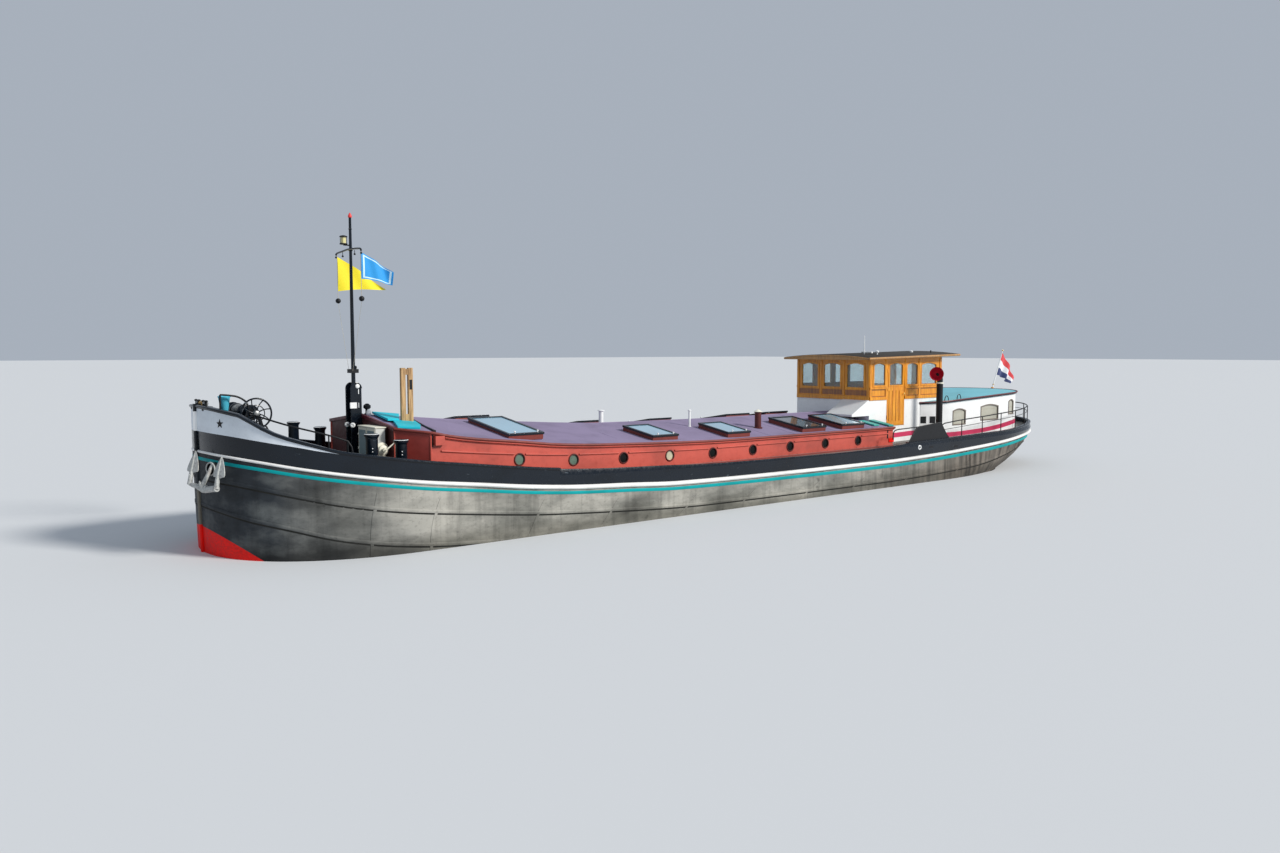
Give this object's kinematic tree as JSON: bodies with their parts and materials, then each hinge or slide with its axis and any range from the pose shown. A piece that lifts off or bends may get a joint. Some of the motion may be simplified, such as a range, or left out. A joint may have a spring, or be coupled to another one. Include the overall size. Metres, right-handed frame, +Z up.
{
  "type": "motor river barge with straight stem",
  "caption": "Steel river barge: bluff bow, counter stern, pitched deck with hinged skylights over the hold, wooden wheelhouse, aft cabin, lowering mast, rudder and propeller.",
  "frame": {"origin": "amidships on the centreline, on the flat bottom of the hull", "axes": "+X forward to the bow, +Y to port, +Z up"},
  "size_m": [27.6686, 5.32, 7.47],
  "materials": {
    "hull_plate": "weathered tar paint on riveted plate",
    "black_paint": "gloss paint",
    "white_paint": "semi-gloss paint",
    "red_paint": "brick red satin paint, weathered",
    "hold_deck": "matt grey purple deck paint",
    "skylight_glass": "black frame round pale glass",
    "cyan_paint": "turquoise satin paint",
    "varnished_wood": "varnished",
    "timber": "weathered planks",
    "engine_paint": "green engine paint",
    "bronze": "cast bronze",
    "anchor_iron": "grey paint on cast iron"
  },
  "bodies": {
    "barge": {"hull_forebody": "hull_plate", "hull_midbody": "hull_plate", "hull_aftbody": "hull_plate", "stem": "black_paint", "skeg": "hull_plate", "rubbing_band": "white_paint", "bulwark_fore": "black_paint", "toe_rail_port": "black_paint", "toe_rail_starboard": "black_paint", "bulwark_aft": "black_paint", "side_screen_port": "black_paint", "side_screen_starboard": "black_paint", "coaming_port": "red_paint", "coaming_starboard": "red_paint", "coaming_front": "red_paint", "hold_deck_port": "hold_deck", "hold_deck_starboard": "hold_deck", "wheelhouse_base": "white_paint", "wheelhouse_port": "varnished_wood", "wheelhouse_starboard": "varnished_wood", "wheelhouse_front": "varnished_wood", "wheelhouse_aft": "varnished_wood", "wheelhouse_roof": "varnished_wood", "helm_console": "varnished_wood", "engine": "engine_paint", "aft_cabin_walls": "white_paint", "aft_cabin_roof": "cyan_paint", "tabernacle": "black_paint", "bollards_port": "black_paint", "bollards_starboard": "black_paint", "bow_rail_port": "black_paint", "bow_rail_starboard": "black_paint", "anchor_port": "anchor_iron", "mast_winch": "white_paint", "anchor_winch_frame": "black_paint", "timber_post": "timber", "stove_pipe": "red_paint", "hold_vent_port": "white_paint", "hold_vent_starboard": "white_paint", "exhaust_stack": "black_paint", "cowl_vent": "red_paint", "stern_rail": "black_paint", "flagstaff": "timber"},
    "propeller": {"propeller": "bronze"},
    "rudder": {"rudder": "hull_plate"},
    "helm_wheel": {"helm_wheel": "varnished_wood"},
    "mast": {"mast": "black_paint"},
    "anchor_winch_drum": {"anchor_winch_drum": "black_paint"},
    "door_port": {"wheelhouse_door_port": "varnished_wood"},
    "door_starboard": {"wheelhouse_door_starboard": "varnished_wood"},
    "lid_1_port": {"skylight_1_port": "skylight_glass"},
    "lid_1_starboard": {"skylight_1_starboard": "skylight_glass"},
    "lid_2_port": {"skylight_2_port": "skylight_glass"},
    "lid_2_starboard": {"skylight_2_starboard": "skylight_glass"},
    "lid_3_port": {"skylight_3_port": "skylight_glass"},
    "lid_3_starboard": {"skylight_3_starboard": "skylight_glass"},
    "lid_4_port": {"skylight_4_port": "skylight_glass"},
    "lid_4_starboard": {"skylight_4_starboard": "skylight_glass"},
    "lid_5_port": {"skylight_5_port": "skylight_glass"},
    "lid_5_starboard": {"skylight_5_starboard": "skylight_glass"}
  },
  "joints": [
    {"name": "propeller_spin", "type": "hinge", "parent": "barge", "child": "propeller", "pos_m": [-10.89, 0, 0.43], "axis": [1, 0, 0], "continuous": true},
    {"name": "rudder_turn", "type": "hinge", "parent": "barge", "child": "rudder", "pos_m": [-12.19, 0, 0.5], "axis": [0, 0, 1], "range_deg": [-35, 35]},
    {"name": "helm_turn", "type": "hinge", "parent": "barge", "child": "helm_wheel", "pos_m": [-5.11, 0, 3.2], "axis": [1, 0, 0], "range_deg": [-540, 540]},
    {"name": "mast_lower", "type": "hinge", "parent": "barge", "child": "mast", "pos_m": [10.48, 0, 3.85], "axis": [0, -1, 0], "range_deg": [0, 88]},
    {"name": "anchor_winch_turn", "type": "hinge", "parent": "barge", "child": "anchor_winch_drum", "pos_m": [12.69, 0, 3.52], "axis": [0, 1, 0], "continuous": true},
    {"name": "door_port_open", "type": "hinge", "parent": "barge", "child": "door_port", "pos_m": [-5.26, 1.407, 3.4], "axis": [0, 0, -1], "range_deg": [0, 110]},
    {"name": "door_starboard_open", "type": "hinge", "parent": "barge", "child": "door_starboard", "pos_m": [-5.26, -1.407, 3.4], "axis": [0, 0, 1], "range_deg": [0, 110]},
    {"name": "lid_1_port_open", "type": "hinge", "parent": "barge", "child": "lid_1_port", "pos_m": [7.57, 0.27479, 3.18443], "axis": [1, 0, 0], "range_deg": [0, 60]},
    {"name": "lid_1_starboard_open", "type": "hinge", "parent": "barge", "child": "lid_1_starboard", "pos_m": [7.57, -0.27479, 3.18443], "axis": [-1, 0, 0], "range_deg": [0, 60]},
    {"name": "lid_2_port_open", "type": "hinge", "parent": "barge", "child": "lid_2_port", "pos_m": [3.81, 0.91433, 2.87761], "axis": [1, 0, 0], "range_deg": [0, 60]},
    {"name": "lid_2_starboard_open", "type": "hinge", "parent": "barge", "child": "lid_2_starboard", "pos_m": [3.81, -0.91433, 2.87761], "axis": [-1, 0, 0], "range_deg": [0, 60]},
    {"name": "lid_3_port_open", "type": "hinge", "parent": "barge", "child": "lid_3_port", "pos_m": [1.43, 0.96633, 2.82803], "axis": [1, 0, 0], "range_deg": [0, 60]},
    {"name": "lid_3_starboard_open", "type": "hinge", "parent": "barge", "child": "lid_3_starboard", "pos_m": [1.43, -0.96633, 2.82803], "axis": [-1, 0, 0], "range_deg": [0, 60]},
    {"name": "lid_4_port_open", "type": "hinge", "parent": "barge", "child": "lid_4_port", "pos_m": [-1.34, 0.81602, 2.844], "axis": [1, 0, 0], "range_deg": [0, 60]},
    {"name": "lid_4_starboard_open", "type": "hinge", "parent": "barge", "child": "lid_4_starboard", "pos_m": [-1.34, -0.81602, 2.844], "axis": [-1, 0, 0], "range_deg": [0, 60]},
    {"name": "lid_5_port_open", "type": "hinge", "parent": "barge", "child": "lid_5_port", "pos_m": [-2.94, 0.81629, 2.84508], "axis": [1, 0, 0], "range_deg": [0, 60]},
    {"name": "lid_5_starboard_open", "type": "hinge", "parent": "barge", "child": "lid_5_starboard", "pos_m": [-2.94, -0.81629, 2.84508], "axis": [-1, 0, 0], "range_deg": [0, 60]}
  ],
  "couplings": [
    {"joint": "helm_turn", "follows": "rudder_turn", "ratio": 15.429}
  ]
}
